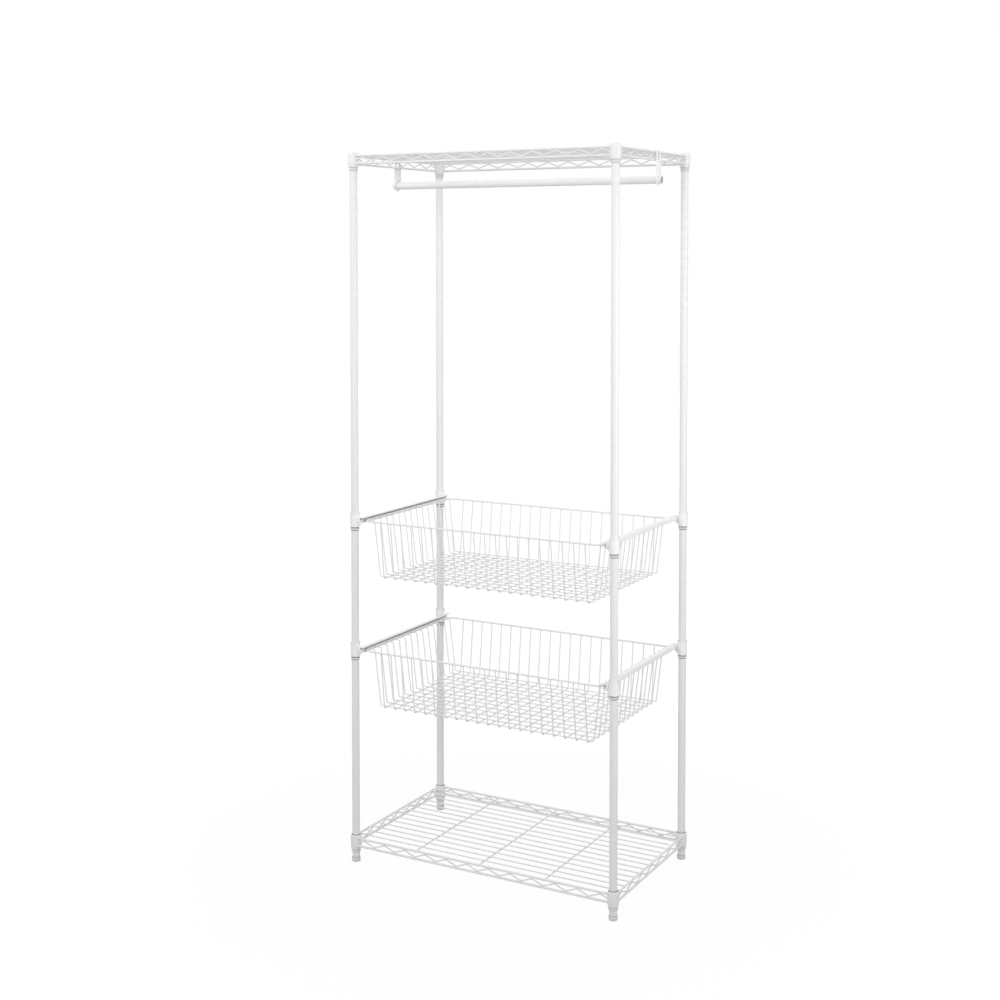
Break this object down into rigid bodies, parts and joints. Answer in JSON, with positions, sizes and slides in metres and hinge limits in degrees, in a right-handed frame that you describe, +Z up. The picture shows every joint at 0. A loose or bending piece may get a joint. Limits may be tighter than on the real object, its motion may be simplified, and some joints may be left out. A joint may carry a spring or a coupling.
{
  "type": "garment rack",
  "caption": "Free-standing wire garment rack with grooved round posts, a hanging tube under the top wire shelf, pull-out wire baskets on side rails and a bottom wire shelf.",
  "frame": {"origin": "on the floor, midway between the four posts' feet", "axes": "+Z up along the posts; the front, where the baskets pull out, faces -Y; X runs along the rack's width"},
  "size_m": [0.7602, 0.4416, 1.8],
  "materials": {
    "post_coat": "white satin powder coat",
    "shelf_coat": "white satin powder coat",
    "rail_coat": "white satin powder coat",
    "basket_coat": "white satin powder coat",
    "tube_coat": "white satin powder coat",
    "sleeve_plastic": "white, slightly matt",
    "foot_plastic": "light grey, matt",
    "cap_plastic": "white, slightly matt"
  },
  "bodies": {
    "rack": {"post_front_left": "post_coat", "post_front_right": "post_coat", "post_rear_left": "post_coat", "post_rear_right": "post_coat", "post_cap_front_left": "cap_plastic", "post_cap_front_right": "cap_plastic", "post_cap_rear_left": "cap_plastic", "post_cap_rear_right": "cap_plastic", "foot_insert_front_left": "cap_plastic", "foot_insert_front_right": "cap_plastic", "foot_insert_rear_left": "cap_plastic", "foot_insert_rear_right": "cap_plastic", "bottom_shelf_sleeve_front_left_front": "sleeve_plastic", "bottom_shelf_sleeve_front_left_back": "sleeve_plastic", "bottom_shelf_sleeve_front_right_front": "sleeve_plastic", "bottom_shelf_sleeve_front_right_back": "sleeve_plastic", "bottom_shelf_sleeve_rear_left_front": "sleeve_plastic", "bottom_shelf_sleeve_rear_left_back": "sleeve_plastic", "bottom_shelf_sleeve_rear_right_front": "sleeve_plastic", "bottom_shelf_sleeve_rear_right_back": "sleeve_plastic", "lower_rail_sleeve_front_left_front": "sleeve_plastic", "lower_rail_sleeve_front_left_back": "sleeve_plastic", "lower_rail_sleeve_front_right_front": "sleeve_plastic", "lower_rail_sleeve_front_right_back": "sleeve_plastic", "lower_rail_sleeve_rear_left_front": "sleeve_plastic", "lower_rail_sleeve_rear_left_back": "sleeve_plastic", "lower_rail_sleeve_rear_right_front": "sleeve_plastic", "lower_rail_sleeve_rear_right_back": "sleeve_plastic", "upper_rail_sleeve_front_left_front": "sleeve_plastic", "upper_rail_sleeve_front_left_back": "sleeve_plastic", "upper_rail_sleeve_front_right_front": "sleeve_plastic", "upper_rail_sleeve_front_right_back": "sleeve_plastic", "upper_rail_sleeve_rear_left_front": "sleeve_plastic", "upper_rail_sleeve_rear_left_back": "sleeve_plastic", "upper_rail_sleeve_rear_right_front": "sleeve_plastic", "upper_rail_sleeve_rear_right_back": "sleeve_plastic", "top_shelf_sleeve_front_left_front": "sleeve_plastic", "top_shelf_sleeve_front_left_back": "sleeve_plastic", "top_shelf_sleeve_front_right_front": "sleeve_plastic", "top_shelf_sleeve_front_right_back": "sleeve_plastic", "top_shelf_sleeve_rear_left_front": "sleeve_plastic", "top_shelf_sleeve_rear_left_back": "sleeve_plastic", "top_shelf_sleeve_rear_right_front": "sleeve_plastic", "top_shelf_sleeve_rear_right_back": "sleeve_plastic", "top_shelf": "shelf_coat", "bottom_shelf": "shelf_coat", "upper_rail_right": "rail_coat", "upper_rail_left": "rail_coat", "lower_rail_right": "rail_coat", "lower_rail_left": "rail_coat", "tube_bracket_right": "tube_coat", "tube_bracket_left": "tube_coat", "hanging_tube": "tube_coat"},
    "upper_basket": {"upper_basket": "basket_coat"},
    "lower_basket": {"lower_basket": "basket_coat"},
    "foot_front_left": {"levelling_foot_front_left": "foot_plastic"},
    "foot_front_right": {"levelling_foot_front_right": "foot_plastic"},
    "foot_rear_left": {"levelling_foot_rear_left": "foot_plastic"},
    "foot_rear_right": {"levelling_foot_rear_right": "foot_plastic"}
  },
  "joints": [
    {"name": "upper_basket_slide", "type": "slide", "parent": "rack", "child": "upper_basket", "axis": [0, -1, 0], "range_m": [0, 0.3]},
    {"name": "lower_basket_slide", "type": "slide", "parent": "rack", "child": "lower_basket", "axis": [0, -1, 0], "range_m": [0, 0.3]},
    {"name": "foot_front_left_screw", "type": "slide", "parent": "rack", "child": "foot_front_left", "axis": [0, 0, -1], "range_m": [0, 0.012]},
    {"name": "foot_front_right_screw", "type": "slide", "parent": "rack", "child": "foot_front_right", "axis": [0, 0, -1], "range_m": [0, 0.012]},
    {"name": "foot_rear_left_screw", "type": "slide", "parent": "rack", "child": "foot_rear_left", "axis": [0, 0, -1], "range_m": [0, 0.012]},
    {"name": "foot_rear_right_screw", "type": "slide", "parent": "rack", "child": "foot_rear_right", "axis": [0, 0, -1], "range_m": [0, 0.012]}
  ]
}
